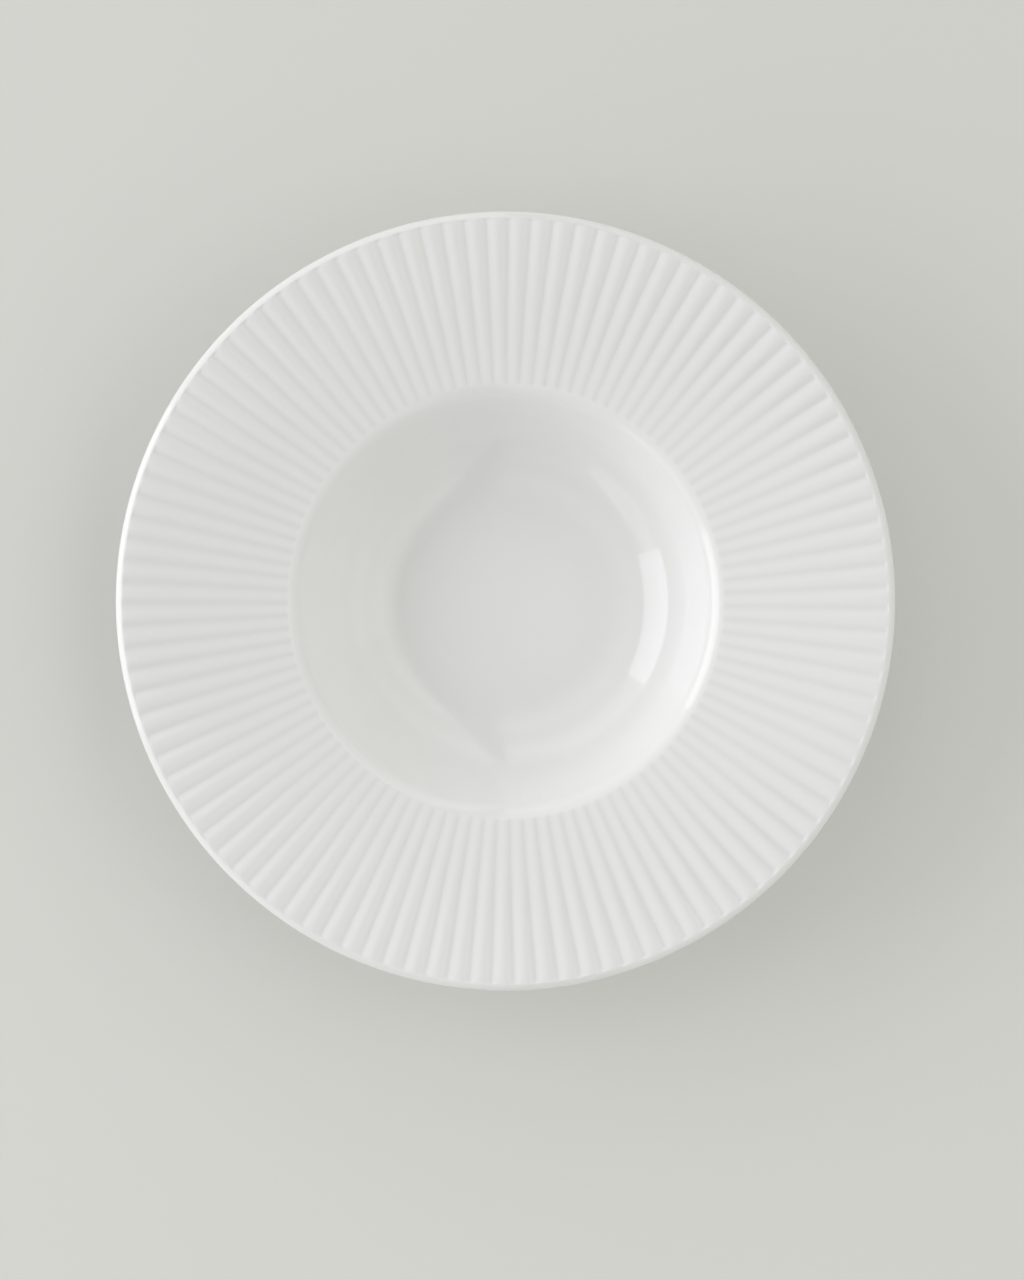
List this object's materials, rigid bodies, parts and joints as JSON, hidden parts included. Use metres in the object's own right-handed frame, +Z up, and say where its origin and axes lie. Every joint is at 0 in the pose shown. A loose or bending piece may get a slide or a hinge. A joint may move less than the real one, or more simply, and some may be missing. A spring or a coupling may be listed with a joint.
{
  "type": "pasta bowl",
  "caption": "Round glazed porcelain pasta bowl with a deep rounded well, a wide rim of radial ribs, a plain rounded lip and a low foot ring.",
  "frame": {"origin": "centre of the foot's ground face, on the table", "axes": "+Z up along the bowl's axis of turn; X and Y level, with one rib's crest along +X"},
  "size_m": [0.28, 0.28, 0.0486],
  "materials": {
    "glaze": "clear gloss glaze on white porcelain",
    "foot": "glazed flanks with a bare ground face"
  },
  "bodies": {
    "root": {"foot_ring": "foot", "well": "glaze", "ribbed_rim": "glaze", "lip": "glaze"}
  },
  "joints": []
}
